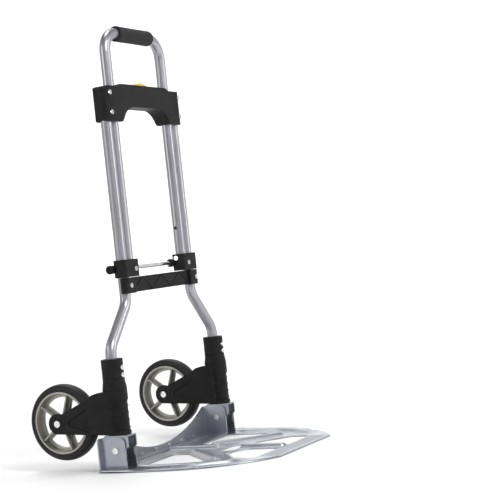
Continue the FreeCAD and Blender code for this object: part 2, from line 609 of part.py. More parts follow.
# ---------------------------------------------------------------- columns
sleeve_outer = turned("sleeve_outer", [
    ("tube_radius", "sleeve_low"), ("sleeve_radius", "sleeve_low"),
    ("sleeve_radius", "sleeve_high - sleeve_turn", "-sleeve_turn"),
    ("sleeve_radius - sleeve_turn", "sleeve_high"), ("tube_radius", "sleeve_high"),
], "column_x", "0", "0")
sleeve_right = cut("sleeve_right", sleeve_outer, *[
    screw_hole(f"sleeve_hole_{level}", "column_x", "-sleeve_radius", f"column_screw_{level}")
    for level in ("low", "high")])
sleeve_left = mirrored("sleeve_left", sleeve_right)
sleeve_screws = group("sleeve_screws", *[
    screw(f"sleeve_screw_{side}_{level}", f"{sign}column_x", "-sleeve_radius + column_screw_sink",
          f"column_screw_{level}")
    for side, sign in (("right", ""), ("left", "-")) for level in ("low", "high")])

# ---------------------------------------------------------------- swivelling forks
hub_points = [("swivel_bush", "hub_low"), ("hub_lip", "hub_low"), ("hub_lip", "hub_low + 5"),
              ("hub_radius", "hub_low + 6.5")]
for index in range(4):
    level = f"groove_first + {index} * groove_pitch"
    hub_points += [("hub_radius", f"{level} - 1.4"), ("hub_radius + 1", f"{level} - 0.8"),
                   ("hub_radius + 1", f"{level} + 0.8"), ("hub_radius", f"{level} + 1.4")]
hub_points += [("hub_radius", "bulge_low - 3"), ("hub_bulge", "bulge_low"), ("hub_bulge", "bulge_high"),
               ("hub_radius", "bulge_high + 10"), ("hub_radius", "hub_high"), ("swivel_bush", "hub_high")]
fork_hub = turned("fork_hub", hub_points, "column_x", "0", "0")
arm_end_disc = rod("arm_end_disc", "arm_end", "x",
                   ("column_x - arm_outer", "axle_y", "axle_z"), "2 * arm_outer")
arm_side = slab("arm_side", "YZ_Plane", [
    ("-arm_turn", "arm_low"), ("axle_y", "axle_z - arm_end"), ("axle_y + 3", "axle_z"),
    ("axle_y - 8", "axle_z + 15"), ("arm_knee_y", "arm_high - 9"), ("arm_knee_y - 8", "arm_high - 3"),
    ("arm_knee_y - 20", "arm_high"), ("-arm_turn", "arm_high"),
], "column_x - arm_outer", "column_x + arm_outer")
arm_plan = slab("arm_plan", "XY_Plane", [
    ("column_x - arm_outer", "arm_turn - 4", "-arm_turn"), ("column_x - arm_outer + arm_turn", "-4"),
    ("column_x + arm_outer - arm_turn", "-4", "-arm_turn"), ("column_x + arm_outer", "arm_turn - 4"),
    ("column_x + arm_outer", "axle_y + arm_end"), ("column_x - arm_outer", "axle_y + arm_end"),
], "arm_low - 1", "arm_high + 1")
arm_block = fuse("arm_block", common("arm_slab", arm_side, arm_plan), arm_end_disc)
wheel_room = box("wheel_room", ("column_x - arm_outer + arm_thick", "column_x + arm_outer - arm_thick"),
                 ("crown_back", "axle_y + 40"), ("0", "arm_high + 5"))
RECESS = [("recess_start", "arm_high - 24"), ("recess_start", "arm_low + 7"), ("recess_end", "axle_z - 4"),
          ("recess_end", "axle_z + 3")]
recess_outer = slab("recess_outer", "YZ_Plane", RECESS, "column_x + arm_outer - recess_deep",
                    "column_x + arm_outer + 1")
recess_inner = slab("recess_inner", "YZ_Plane", RECESS, "column_x - arm_outer - 1",
                    "column_x - arm_outer + recess_deep")
fork_right = cut(
    "fork_right", fuse("fork_block", fork_hub, arm_block), wheel_room, recess_outer, recess_inner,
    rod("fork_bush_bore", "swivel_bush", "z", ("column_x", "0", "hub_low - 1"), "hub_high - hub_low + 2"),
    rod("fork_axle_bore", "axle_radius", "x",
        ("column_x - arm_outer - 1", "axle_y", "axle_z"), "2 * arm_outer + 2"),
    rod("fork_head_seat", "axle_head + seat_gap", "x",
        ("column_x + arm_outer - seat_deep", "axle_y", "axle_z"), "seat_deep + 1"),
    rod("fork_nut_seat", "axle_head + seat_gap", "x",
        ("column_x - arm_outer - 1", "axle_y", "axle_z"), "seat_deep + 1"))
fork_left = mirrored("fork_left", fork_right)
swivel_bush_right = ring("swivel_bush_right", "swivel_bush", "tube_radius + slide_gap", "z",
                         ("column_x", "0", "hub_low"), "hub_high - hub_low")
swivel_bush_left = mirrored("swivel_bush_left", swivel_bush_right)
axle_right = cut(
    "axle_right",
    fuse("axle_solid",
         rod("axle_shank", "axle_radius", "x",
             ("column_x - arm_outer", "axle_y", "axle_z"), "2 * arm_outer - 1"),
         rod("axle_head_disc", "axle_head", "x", ("column_x + arm_outer - seat_deep", "axle_y", "axle_z"),
             "axle_head_high")),
    rod("axle_socket", "socket_radius + 0.6", "x",
        ("column_x + arm_outer - seat_deep + axle_head_high - socket_deep", "axle_y", "axle_z"),
        "socket_deep + 1"))
axle_left = mirrored("axle_left", axle_right)
axle_nut_right = ring("axle_nut_right", "axle_head", "axle_radius", "x",
                      ("column_x - arm_outer + seat_deep - axle_head_high", "axle_y", "axle_z"),
                      "axle_head_high")
axle_nut_left = mirrored("axle_nut_left", axle_nut_right)

# ---------------------------------------------------------------- wheels
ALONG_X = (V(0, 1, 0), 90)
tyre_right = turned("tyre_right", [
    ("rim_seat", "-tyre_half + rim_flange"), ("rim_radius + bead_gap", "-tyre_half + rim_flange"),
    ("rim_radius + bead_gap", "-tyre_half"),
    ("tyre_radius - tyre_shoulder", "-tyre_half", "-9"),
    ("tyre_radius - tyre_crown", "-tyre_half + 6", "-26"),
    ("tyre_radius - tyre_crown", "tyre_half - 6", "-9"), ("tyre_radius - tyre_shoulder", "tyre_half"),
    ("rim_radius + bead_gap", "tyre_half"), ("rim_radius + bead_gap", "tyre_half - rim_flange"),
    ("rim_seat", "tyre_half - rim_flange"),
], "column_x", "axle_y", "axle_z", ALONG_X)
rim_ring = turned("rim_ring", [
    ("rim_inner", "-tyre_half"), ("rim_radius", "-tyre_half"), ("rim_radius", "-tyre_half + rim_flange"),
    ("rim_seat", "-tyre_half + rim_flange"), ("rim_seat", "tyre_half - rim_flange"),
    ("rim_radius", "tyre_half - rim_flange"), ("rim_radius", "tyre_half"), ("rim_inner", "tyre_half"),
    ("rim_throat", "web_half"), ("rim_web", "web_half"), ("rim_web", "-web_half"),
    ("rim_throat", "-web_half"),
], "column_x", "axle_y", "axle_z", ALONG_X)
SPOKES = 5


def spoke_bar(index, name, half_deep, wide, reach):
    """A radial bar of one spoke, centred on the wheel's middle plane."""
    bar = doc.addObject("Part::Box", f"{name}_{index + 1}")
    bind(bar, "Length", f"2 * {half_deep}")
    bind(bar, "Width", wide)
    bind(bar, "Height", reach)
    turn = FreeCAD.Rotation(V(1, 0, 0), 360.0 * index / SPOKES + 90)
    corner = turn.multVec(V(0, -1, 0))
    bar.Placement = FreeCAD.Placement(V(), turn)
    bind(bar, "Placement.Base.x", f"column_x - {half_deep}")
    bind(bar, "Placement.Base.y", f"axle_y + ({corner.y:.6f}) * {wide} / 2")
    bind(bar, "Placement.Base.z", f"axle_z + ({corner.z:.6f}) * {wide} / 2")
    return bar


spokes = []
for index in range(SPOKES):
    spokes.append(spoke_bar(index, "spoke_web", "web_half", "spoke_wide", "rim_web + 1"))
    spokes.append(spoke_bar(index, "spoke_fin", "fin_half", "fin_wide", "rim_throat + 0.5"))
rim_right = cut(
    "rim_right",
    fuse("rim_body", rim_ring, *spokes,
         rod("rim_hub", "wheel_hub", "x",
             ("column_x - wheel_hub_half", "axle_y", "axle_z"), "2 * wheel_hub_half")),
    rod("rim_bore", "wheel_bush", "x", ("column_x - wheel_hub_half - 1", "axle_y", "axle_z"),
        "2 * wheel_hub_half + 2"))
rim_left = mirrored("rim_left", rim_right)
tyre_left = mirrored("tyre_left", tyre_right)
wheel_bush_right = ring("wheel_bush_right", "wheel_bush", "axle_radius + pin_gap", "x",
                        ("column_x - wheel_hub_half - bush_proud", "axle_y", "axle_z"),
                        "2 * (wheel_hub_half + bush_proud)")
wheel_bush_left = mirrored("wheel_bush_left", wheel_bush_right)
axle_spacers_right = group("axle_spacers_right", *[
    ring(f"axle_spacer_{label}", "wheel_bush", "axle_radius", "x", (start, "axle_y", "axle_z"),
         "arm_outer - arm_thick - wheel_hub_half - spacer_gap")
    for label, start in (("outer", "column_x + wheel_hub_half + spacer_gap"),
                         ("inner", "column_x - arm_outer + arm_thick"))])
axle_spacers_left = mirrored("axle_spacers_left", axle_spacers_right)

# ---------------------------------------------------------------- feet on the frame tubes
foot_walls = slab("foot_walls", "YZ_Plane", [
    ("-foot_front + 6", "pivot_z - 12"), ("foot_back - 10", "pivot_z - 14"), ("foot_back - 2", "pivot_z - 9"),
    ("foot_back", "foot_top"), ("-foot_front", "foot_top"), ("-foot_front", "pivot_z + 6"),
    ("-foot_front + 6", "pivot_z"),
], "column_x - foot_half", "column_x + foot_half")
foot_right = cut(
    "foot_right", foot_walls,
    box("foot_inside", ("column_x - foot_half + foot_wall", "column_x + foot_half - foot_wall"),
        ("-foot_front - 1", "foot_back + 1"), ("0", "foot_top - foot_wall")),
    rod("foot_tube_hole", "tube_radius", "z", ("column_x", "0", "foot_top - 10"), "20"),
    rod("foot_pivot_hole", "pivot_radius + pin_gap", "x", ("column_x - foot_half - 1", "0", "pivot_z"),
        "2 * foot_half + 2"))
foot_left = mirrored("foot_left", foot_right)

# ---------------------------------------------------------------- bracket beam of the toe plate
beam_web = slab("beam_web", "XZ_Plane", [
    ("-wall_half", "ear_low"), ("wall_half", "ear_low"), ("wall_half", "ear_high - wall_turn", "-wall_turn"),
    ("wall_half - wall_turn", "ear_high"), ("wall_arc_half", "ear_high", "wall_arc_radius"),
    ("0", "wall_mid_high", "wall_arc_radius"), ("-wall_arc_half", "ear_high"),
    ("-wall_half + wall_turn", "ear_high", "-wall_turn"), ("-wall_half", "ear_high - wall_turn"),
], "ear_back - ear_wall", "ear_back")
ears = []
for side, sign in (("right", ""), ("left", "-")):
    for label, edge in (("outer", "ear_outer - ear_wall"), ("inner", "-ear_outer")):
        ears.append(slab(f"ear_{side}_{label}", "YZ_Plane", [
            ("-ear_front", "ear_low"), ("ear_back", "ear_low"), ("ear_back", "ear_high"),
            ("-ear_front + ear_round", "ear_high", "-ear_round"), ("-ear_front", "ear_high - ear_round"),
        ], f"{sign}column_x + {edge}", f"{sign}column_x + {edge} + ear_wall"))
beam_foot = box("beam_foot", ("-column_x - ear_outer", "column_x + ear_outer"), ("beam_foot_y", "ear_back"),
                ("ear_low", "ear_low + beam_foot_thick"))
bracket_beam = cut(
    "bracket_beam", fuse("beam_body", beam_web, *ears, beam_foot),
    rod("beam_pivot_hole_right", "pivot_radius", "x", ("column_x - ear_outer - 1", "0", "pivot_z"),
        "2 * ear_outer + 2"),
    rod("beam_pivot_hole_left", "pivot_radius", "x", ("-column_x - ear_outer - 1", "0", "pivot_z"),
        "2 * ear_outer + 2"))


def pivot_bolt(side, start, head, socket):
    shank = rod(f"pivot_shank_{side}", "pivot_radius", "x", (start, "0", "pivot_z"), "2 * ear_outer")
    head = rod(f"pivot_head_{side}", "pivot_head", "x", (head, "0", "pivot_z"), "pivot_head_high")
    socket = rod(f"pivot_socket_{side}", "socket_radius + 0.3", "x",
                 (socket, "0", "pivot_z"), "socket_deep + 1")
    return cut(f"pivot_bolt_{side}", fuse(f"pivot_solid_{side}", shank, head), socket)


pivot_bolts = group(
    "pivot_bolts",
    pivot_bolt("right", "column_x - ear_outer", "column_x + ear_outer",
               "column_x + ear_outer + pivot_head_high - socket_deep"),
    pivot_bolt("left", "-column_x - ear_outer", "-column_x - ear_outer - pivot_head_high",
               "-column_x - ear_outer - pivot_head_high - 1"))
pivot_nuts = group("pivot_nuts", *[
    rod(f"pivot_nut_{side}", "pivot_head", "x", (start, "0", "pivot_z"), "pivot_head_high")
    for side, start in (("right", "column_x - ear_outer - pivot_head_high"),
                        ("left", "-column_x + ear_outer"))])

# ---------------------------------------------------------------- toe plate
def plate_outline(inset):
    """The plate's outline, or a smaller copy of it a bound distance inside its sides."""
    half, shoulder, tip = (f"({size} - {inset})" for size in ("plate_half", "shoulder_half", "tip_half"))
    front, knee = f"(-tip_y + {inset} / 2)", f"(-shoulder_y + {inset} / 4)"
    nose = f"-(nose_radius - {inset})"
    rear = "(plate_back - plate_corner)"
    return [
        (f"{half} - plate_corner", "plate_back"), (f"-{half} + plate_corner", "plate_back", "-plate_corner"),
        (f"-{half}", rear), (f"-{half}", "-plate_turn", "-side_radius"),
        (f"-{shoulder}", knee, nose), (f"-{tip}", front), (tip, front, nose),
        (shoulder, knee, "-side_radius"), (half, "-plate_turn"), (half, rear, "-plate_corner"),
    ]


plate_sheet = slab("plate_sheet", "XY_Plane", plate_outline("0"), "0", "sheet_high")
band_block = slab("band_block", "XY_Plane", plate_outline("band_outer"), "0", "band_high")
band_middle = slab("band_middle", "XY_Plane", plate_outline("band_inner"), "-1", "band_high + 1")
band_length = box("band_length", ("-plate_half", "plate_half"), ("-band_front", "-band_rear"),
                  ("0", "band_high"))
side_bands = common("side_bands", cut("band_ring", band_block, band_middle), band_length)


def bead(name, start, end):
    """A pressed stiffening bead: a half-round rib between two points of the plate."""
    begin, finish = V(*start, 0), V(*end, 0)
    item = doc.addObject("Part::Cylinder", name)
    bind(item, "Radius", "bead_radius")
    bind(item, "Height", f"{(finish - begin).Length:.3f}")
    item.Placement = FreeCAD.Placement(V(begin.x, begin.y, 0), FreeCAD.Rotation(V(0, 0, 1), finish - begin))
    bind(item, "Placement.Base.z", "plate_high - bead_radius")
    return item


SIDE_OPENING = [(142, -24), (52, -24), (46, -30), (46, -52), (118, -124), (136, -122), (150, -98), (150, -34)]
FRONT_OPENING = [(104, -172), (56, -132), (30, -134), (14, -150), (14, -205), (104, -205)]
MIDDLE_OPENING = [(-20, -100), (-32, -112), (-24, -124), (24, -124), (32, -112), (20, -100)]
openings = [slab("middle_opening", "XY_Plane", MIDDLE_OPENING, "-1", "plate_high + 1")]
for side, sign in (("right", 1), ("left", -1)):
    for label, corners in (("side", SIDE_OPENING), ("front", FRONT_OPENING)):
        placed = [(sign * x, y) for x, y in corners]
        openings.append(slab(f"{label}_opening_{side}", "XY_Plane", placed, "-1", "plate_high + 1"))
beads = [bead("bead_rear", (0, 4), (0, -84)), bead("bead_front", (0, -136), (0, -206))]
for side, sign in (("right", 1), ("left", -1)):
    beads.append(bead(f"bead_diagonal_{side}", (sign * 34, -58), (sign * 118, -142)))
bead_limits = slab("bead_limits", "XY_Plane", plate_outline("band_outer"), "0", "plate_high")
bead_block = common("bead_block", fuse("bead_rods", *beads), bead_limits)
toe_plate = fuse("toe_plate", cut("plate_open_sheet", plate_sheet, *openings), side_bands, bead_block)
plate_rivets = group("plate_rivets", *[
    rod(f"plate_rivet_{index}", "rivet_radius", "y",
        (f"({index} - 3.5) * rivet_pitch", "ear_back - ear_wall - rivet_head", "rivet_z"), "rivet_head")
    for index in range(1, 7)])

# ---------------------------------------------------------------- write the sub-parts
NODES = [
    frame_tube_right, frame_tube_left, housing_front, housing_rear, housing_screws, handle_bushes, crossbar,
    crossbar_screws, sleeve_right, sleeve_left, sleeve_screws, foot_right, foot_left, button_spring,
    handle_tube, grip, collar_right, collar_left, tie_rod, rod_knobs, rod_stops, collar_screws,
    release_button, lock_pin_right, lock_pin_left, toe_plate, bracket_beam, plate_rivets, pivot_bolts,
    pivot_nuts,
    fork_right, fork_left, swivel_bush_right, swivel_bush_left, axle_right, axle_left,
    axle_nut_right, axle_nut_left, axle_spacers_right, axle_spacers_left,
    rim_right, rim_left, tyre_right, tyre_left, wheel_bush_right, wheel_bush_left,
]


def main():
    doc.recompute()
    failed = [item.Name for item in doc.Objects if {"Invalid", "Error"} & set(item.State)]
    if failed:
        raise SystemExit(f"failed to recompute: {failed}")
    for node in NODES:
        if node.Shape.isNull() or not node.Shape.isValid():
            raise SystemExit(f"bad shape: {node.Label}")
    os.makedirs("parts", exist_ok=True)
    for node in NODES:
        node.Shape.exportStep(f"parts/{node.Label}.step")
        print(f"{node.Label}: {len(node.Shape.Solids)} solids, {node.Shape.Volume / 1000:.2f} cm3")


main()
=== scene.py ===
"""Folding luggage cart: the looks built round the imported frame.  Metres, in the frame's own axes."""
import json
import math

import bmesh
import bpy
import numpy as np
from mathutils import Matrix, Vector, geometry


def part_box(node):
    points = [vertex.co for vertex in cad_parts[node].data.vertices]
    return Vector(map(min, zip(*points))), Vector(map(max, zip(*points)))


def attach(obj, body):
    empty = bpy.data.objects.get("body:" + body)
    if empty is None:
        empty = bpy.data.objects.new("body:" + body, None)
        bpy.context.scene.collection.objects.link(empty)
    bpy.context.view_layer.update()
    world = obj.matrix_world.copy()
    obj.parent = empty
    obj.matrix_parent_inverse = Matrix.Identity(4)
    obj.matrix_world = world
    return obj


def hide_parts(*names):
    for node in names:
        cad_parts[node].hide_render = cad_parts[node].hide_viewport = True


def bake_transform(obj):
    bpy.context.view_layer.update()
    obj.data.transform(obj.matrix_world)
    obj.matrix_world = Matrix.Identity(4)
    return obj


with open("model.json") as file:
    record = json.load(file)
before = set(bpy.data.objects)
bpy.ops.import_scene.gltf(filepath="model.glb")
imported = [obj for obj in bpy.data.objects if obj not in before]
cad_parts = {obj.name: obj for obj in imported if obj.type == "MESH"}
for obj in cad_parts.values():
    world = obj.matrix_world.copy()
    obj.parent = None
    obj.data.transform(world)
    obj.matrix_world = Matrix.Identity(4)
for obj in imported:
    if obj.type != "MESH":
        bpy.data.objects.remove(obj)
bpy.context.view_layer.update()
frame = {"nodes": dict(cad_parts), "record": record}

NODES = frame["nodes"]
MM = 0.001


# ---------------------------------------------------------------- node-tree helpers
class Shader:
    """A small builder for one procedural material."""

    def __init__(self, name, color, roughness, metallic=0.0, **sockets):
        self.material = bpy.data.materials.new(name)
        self.material.use_nodes = True
        self.nodes = self.material.node_tree.nodes
        self.links = self.material.node_tree.links
        self.surface = self.nodes["Principled BSDF"]
        self.set("Base Color", (*color, 1.0))
        self.set("Roughness", roughness)
        self.set("Metallic", metallic)
        for socket, value in sockets.items():
            self.set(socket.replace("_", " "), value)
        self.place = self.nodes.new("ShaderNodeTexCoord").outputs["Object"]
        self.height = None

    def soft_edges(self, radius):
        """Round the shading over sharp edges, as a moulded or pressed edge is; called before any bump."""
        node = self.nodes.new("ShaderNodeBevel")
        node.samples = 6
        node.inputs["Radius"].default_value = radius
        self.height = node.outputs["Normal"]
        self.link(self.height, "Normal")

    def set(self, socket, value):
        self.surface.inputs[socket].default_value = value

    def link(self, source, socket):
        self.links.new(source, self.surface.inputs[socket])

    def noise(self, scale, detail=4.0, roughness=0.55, stretch=(1, 1, 1)):
        mapping = self.nodes.new("ShaderNodeMapping")
        mapping.inputs["Scale"].default_value = stretch
        self.links.new(self.place, mapping.inputs["Vector"])
        texture = self.nodes.new("ShaderNodeTexNoise")
        texture.inputs["Scale"].default_value = scale
        texture.inputs["Detail"].default_value = detail
        texture.inputs["Roughness"].default_value = roughness
        self.links.new(mapping.outputs["Vector"], texture.inputs["Vector"])
        return texture.outputs["Fac"]

    def cells(self, scale):
        texture = self.nodes.new("ShaderNodeTexVoronoi")
        texture.inputs["Scale"].default_value = scale
        self.links.new(self.place, texture.inputs["Vector"])
        return texture.outputs["Distance"]

    def remap(self, source, low, high, to_low, to_high):
        node = self.nodes.new("ShaderNodeMapRange")
        span = (("From Min", low), ("From Max", high), ("To Min", to_low), ("To Max", to_high))
        for socket, value in span:
            node.inputs[socket].default_value = value
        self.links.new(source, node.inputs["Value"])
        return node.outputs["Result"]

    def maths(self, operation, first, second):
        node = self.nodes.new("ShaderNodeMath")
        node.operation = operation
        for index, value in enumerate((first, second)):
            if isinstance(value, (int, float)):
                node.inputs[index].default_value = value
            else:
                self.links.new(value, node.inputs[index])
        return node.outputs["Value"]

    def ramp(self, source, stops):
        """Colours along a 0 to 1 value; stops are (position, (r, g, b))."""
        node = self.nodes.new("ShaderNodeValToRGB")
        ramp = node.color_ramp
        while len(ramp.elements) < len(stops):
            ramp.elements.new(0.5)
        for element, (position, color) in zip(ramp.elements, stops):
            element.position = position
            element.color = (*color, 1.0)
        self.links.new(source, node.inputs["Fac"])
        return node.outputs["Color"]

    def edges(self):
        """0 on flat stretches and hollows, towards 1 on outer edges: the mask for a painted edge highlight.
        """
        pointiness = self.nodes.new("ShaderNodeNewGeometry").outputs["Pointiness"]
        return self.remap(pointiness, 0.52, 0.60, 0.0, 1.0)

    def bump(self, source, depth, strength):
        """Add a height map, in metres from low to high."""
        node = self.nodes.new("ShaderNodeBump")
        node.inputs["Distance"].default_value = depth
        node.inputs["Strength"].default_value = strength
        self.links.new(source, node.inputs["Height"])
        if self.height is not None:
            self.links.new(self.height, node.inputs["Normal"])
        self.height = node.outputs["Normal"]
        self.link(self.height, "Normal")


def tube_metal():
    """Satin silver paint on drawn tube: faint mottling and long draw marks."""
    shader = Shader("tube_metal", (0.37, 0.37, 0.40), 0.3, 0.85, Coat_Weight=0.25, Coat_Roughness=0.22)
    cloud = shader.noise(9, 2)
    streak = shader.noise(420, 3, stretch=(1, 1, 0.02))
    shader.link(shader.ramp(cloud, [(0.30, (0.34, 0.34, 0.365)), (0.72, (0.40, 0.40, 0.43))]), "Base Color")
    shader.link(shader.remap(streak, 0.3, 0.7, 0.27, 0.36), "Roughness")
    shader.bump(streak, 0.00001, 0.2)
    shader.bump(shader.noise(1300, 2), 0.00001, 0.4)
    return shader.material


def plate_metal():
    """Pressed sheet under bluish silver paint, with mottled tone."""
    shader = Shader("plate_metal", (0.36, 0.375, 0.42), 0.32, 0.85, Coat_Weight=0.3, Coat_Roughness=0.2)
    shader.soft_edges(0.0005)
    cloud = shader.noise(18, 4)
    shader.link(shader.ramp(cloud, [(0.28, (0.30, 0.315, 0.36)), (0.75, (0.37, 0.385, 0.425))]), "Base Color")
    shader.link(shader.remap(shader.noise(60, 6), 0.3, 0.75, 0.27, 0.35), "Roughness")
    shader.bump(shader.noise(1400, 2), 0.00002, 0.5)
    shader.bump(shader.noise(45, 2), 0.0002, 0.1)
    return shader.material


def black_plastic():
    """Glass-filled nylon: near black, spark-eroded texture, outer edges lightened by a painted highlight."""
    tone, rough, grain = 0.007, 0.5, 0.00005
    shader = Shader("black_plastic", (tone, tone, tone * 1.05), rough, 0.0, Specular_IOR_Level=0.16)
    shader.soft_edges(0.001)
    # Base colour: random tone plus a painted highlight that lightens the outer edges.
    tone_and_edge_highlight = shader.maths("ADD", shader.remap(shader.noise(55, 5), 0.3, 0.7, 0.0, 0.55),
                        shader.maths("MULTIPLY", shader.edges(), 0.45))
    shader.link(shader.ramp(tone_and_edge_highlight, [(0.0, (tone * 0.8, tone * 0.8, tone * 0.84)),
                                   (1.0, (tone * 1.7, tone * 1.7, tone * 1.78))]), "Base Color")
    shader.link(shader.remap(shader.noise(700, 3), 0.3, 0.7, rough - 0.07, rough + 0.09), "Roughness")
    shader.bump(shader.cells(1500), grain, 0.55)
    shader.bump(shader.noise(1900, 2), grain / 2, 0.5)
    return shader.material


def bright_steel(name, rough):
    """Plated steel with fine turning marks."""
    tone = (0.84, 0.835, 0.82)
    shader = Shader(name, tone, rough, 1.0)
    shader.soft_edges(0.00025)
    cloud = shader.noise(240, 3)
    dark = tuple(channel * 0.86 for channel in tone)
    shader.link(shader.ramp(cloud, [(0.3, dark), (0.7, tone)]), "Base Color")
    shader.link(shader.remap(shader.noise(1500, 3), 0.3, 0.7, rough - 0.06, rough + 0.1), "Roughness")
    shader.bump(shader.noise(2600, 2), 0.00001, 0.6)
    return shader.material


def tyre_rubber():
    """Moulded black rubber: dusty, matt, with a slight bloom."""
    shader = Shader("tyre_rubber", (0.007, 0.007, 0.0074), 0.45, 0.0, Specular_IOR_Level=0.3)
    dust = shader.noise(38, 6, 0.7)
    shader.link(shader.ramp(dust, [(0.3, (0.0055, 0.0055, 0.006)), (0.8, (0.012, 0.0118, 0.0116))]),
                "Base Color")
    shader.link(shader.remap(shader.noise(300, 4), 0.3, 0.7, 0.4, 0.56), "Roughness")
    shader.bump(shader.noise(1600, 3), 0.00005, 0.6)
    return shader.material


def rim_plastic():
    """Warm silver-grey moulded nylon with flow marks."""
    shader = Shader("rim_plastic", (0.36, 0.35, 0.32), 0.32, 0.6, Coat_Weight=0.2, Coat_Roughness=0.25)
    shader.soft_edges(0.0007)
    flow = shader.noise(30, 5, 0.6)
    shader.link(shader.ramp(flow, [(0.28, (0.27, 0.265, 0.235)), (0.74, (0.38, 0.37, 0.335))]), "Base Color")
    shader.link(shader.remap(shader.noise(500, 3), 0.3, 0.7, 0.3, 0.44), "Roughness")
    shader.bump(shader.noise(1500, 2), 0.00003, 0.5)
    return shader.material


def grip_foam():
    """Closed-cell foam: fine open pores and a soft sheen."""
    shader = Shader("grip_foam", (0.05, 0.05, 0.053), 0.82, 0.0, Sheen_Weight=0.06, Sheen_Roughness=0.5,
                    Specular_IOR_Level=0.2)
    pores = shader.cells(620)
    shader.link(shader.ramp(pores, [(0.0, (0.007, 0.007, 0.0075)), (0.45, (0.016, 0.016, 0.017)),
                                    (0.9, (0.028, 0.028, 0.030))]), "Base Color")
    shader.bump(pores, 0.00025, 0.8)
    shader.bump(shader.noise(90, 4), 0.0005, 0.5)
    return shader.material


def button_amber():
    """Amber moulding, slightly translucent and glossy."""
    shader = Shader("button_amber", (0.80, 0.58, 0.07), 0.28, 0.0, Coat_Weight=0.3)
    shader.soft_edges(0.001)
    shader.link(shader.ramp(shader.noise(90, 4), [(0.3, (0.70, 0.49, 0.05)), (0.75, (0.88, 0.68, 0.12))]),
                "Base Color")
    shader.link(shader.remap(shader.noise(600, 3), 0.3, 0.7, 0.22, 0.38), "Roughness")
    shader.bump(shader.noise(1300, 2), 0.00003, 0.5)
    return shader.material


def bush_nylon():
    """Natural nylon, a little waxy."""
    shader = Shader("bush_nylon", (0.72, 0.71, 0.67), 0.4, 0.0)
    shader.link(shader.ramp(shader.noise(120, 4), [(0.3, (0.63, 0.62, 0.58)), (0.75, (0.76, 0.75, 0.71))]),
                "Base Color")
    shader.link(shader.remap(shader.noise(800, 3), 0.3, 0.7, 0.34, 0.48), "Roughness")
    shader.bump(shader.noise(1500, 2), 0.00003, 0.5)
    return shader.material


MATERIALS = {
    "tube": tube_metal(), "plate": plate_metal(), "black_plastic": black_plastic(), "bush": bush_nylon(),
    "fastener": bright_steel("plated_steel", 0.2), "bright_rod": bright_steel("polished_rod", 0.14),
    "foam": grip_foam(), "button": button_amber(), "rim": rim_plastic(), "tyre": tyre_rubber(),
}
SLOT_OF = {entry["node"]: entry["material_slot"] for entry in frame["record"]["subparts"]}


def paint(obj, slot):
    obj.data.materials.clear()
    obj.data.materials.append(MATERIALS[slot])


for name, node in NODES.items():
    paint(node, SLOT_OF[name])


# ---------------------------------------------------------------- finished pieces
def add_piece(name, mesh, body, slot, replaced=()):
    """A finished piece: smooth, painted, riding on its body (unless None) and standing for CAD nodes."""
    obj = bpy.data.objects.new(name, mesh)
    bpy.context.scene.collection.objects.link(obj)
    for face in mesh.polygons:
        face.use_smooth = True
    paint(obj, slot)
    if body:
        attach(obj, body)
    if replaced:
        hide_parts(*replaced)
    return obj


def apply_modifiers(obj):
    """The object's modifiers become part of its mesh."""
    evaluated = obj.evaluated_get(bpy.context.evaluated_depsgraph_get())
    mesh = bpy.data.meshes.new_from_object(evaluated)
    obj.modifiers.clear()
    old = obj.data
    obj.data = mesh
    bpy.data.meshes.remove(old)


# ---------------------------------------------------------------- pressed toe plate
def arc_points(start, end, radius, steps):
    """Points from start up to end, end left out, on an arc bulging to the right of the way between them."""
    start, end = Vector(start), Vector(end)
    chord = end - start
    side = Vector((-chord.y, chord.x)).normalized()
    centre = (start + end) / 2 + side * math.sqrt(radius ** 2 - chord.length_squared / 4)
    spread = 2 * math.asin(chord.length / 2 / radius)
    arm = start - centre
    return [centre + Matrix.Rotation(spread * step / steps, 2) @ arm for step in range(steps)]


def rounded(corners, radius, steps=5):
    """A polygon's corner points with each corner turned into an arc."""
    points = []
    for before, corner, after in zip(corners[-1:] + corners[:-1], corners, corners[1:] + corners[:1]):
        corner = Vector(corner)
        back, ahead = (Vector(before) - corner), (Vector(after) - corner)
        half_angle = back.angle(ahead) / 2
        reach = min(radius / math.tan(half_angle), 0.48 * back.length, 0.48 * ahead.length)
        true_radius = reach * math.tan(half_angle)
        middle = (back.normalized() + ahead.normalized()).normalized()
        centre = corner + middle * (true_radius / math.sin(half_angle))
        first = corner + back.normalized() * reach - centre
        last = corner + ahead.normalized() * reach - centre
        turn = first.angle_signed(last)
        for step in range(steps + 1):
            points.append(centre + Matrix.Rotation(-turn * step / steps, 2) @ first)
    return points


def resampled(points, spacing):
    """A closed outline cut into even steps no longer than the spacing."""
    dense = []
    for here, after in zip(points, points[1:] + points[:1]):
        count = max(1, math.ceil((after - here).length / spacing))
        dense += [here.lerp(after, step / count) for step in range(count)]
    return dense


def outline_distance(place, outline):
    """Distance from many places (n, 2) to a closed outline."""
    ends = np.array([tuple(point) for point in outline])
    nearest = np.full(len(place), np.inf)
    for first, last in zip(ends, np.roll(ends, -1, axis=0)):
        nearest = np.minimum(nearest, segment_distance(place, first, last))
    return nearest


def segment_distance(place, first, last):
    first, last = np.array(first, float), np.array(last, float)
    way = last - first
    share = np.clip((place - first) @ way / (way @ way), 0, 1)
    return np.linalg.norm(place - first - share[:, None] * way, axis=1)


def smooth_step(value, low, high):
    share = np.clip((value - low) / (high - low), 0, 1)
    return share * share * (3 - 2 * share)


PLATE_LOW, PLATE_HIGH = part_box("toe_plate")
PLATE_HALF, PLATE_BACK, PLATE_TIP = PLATE_HIGH.x, PLATE_HIGH.y, -PLATE_LOW.y
SHOULDER_HALF, SHOULDER_Y, TIP_HALF, PLATE_TURN = 0.192, 0.122, 0.097, 0.010
SIDE_RADIUS, NOSE_RADIUS, REAR_TURN = 0.860, 0.190, 0.009


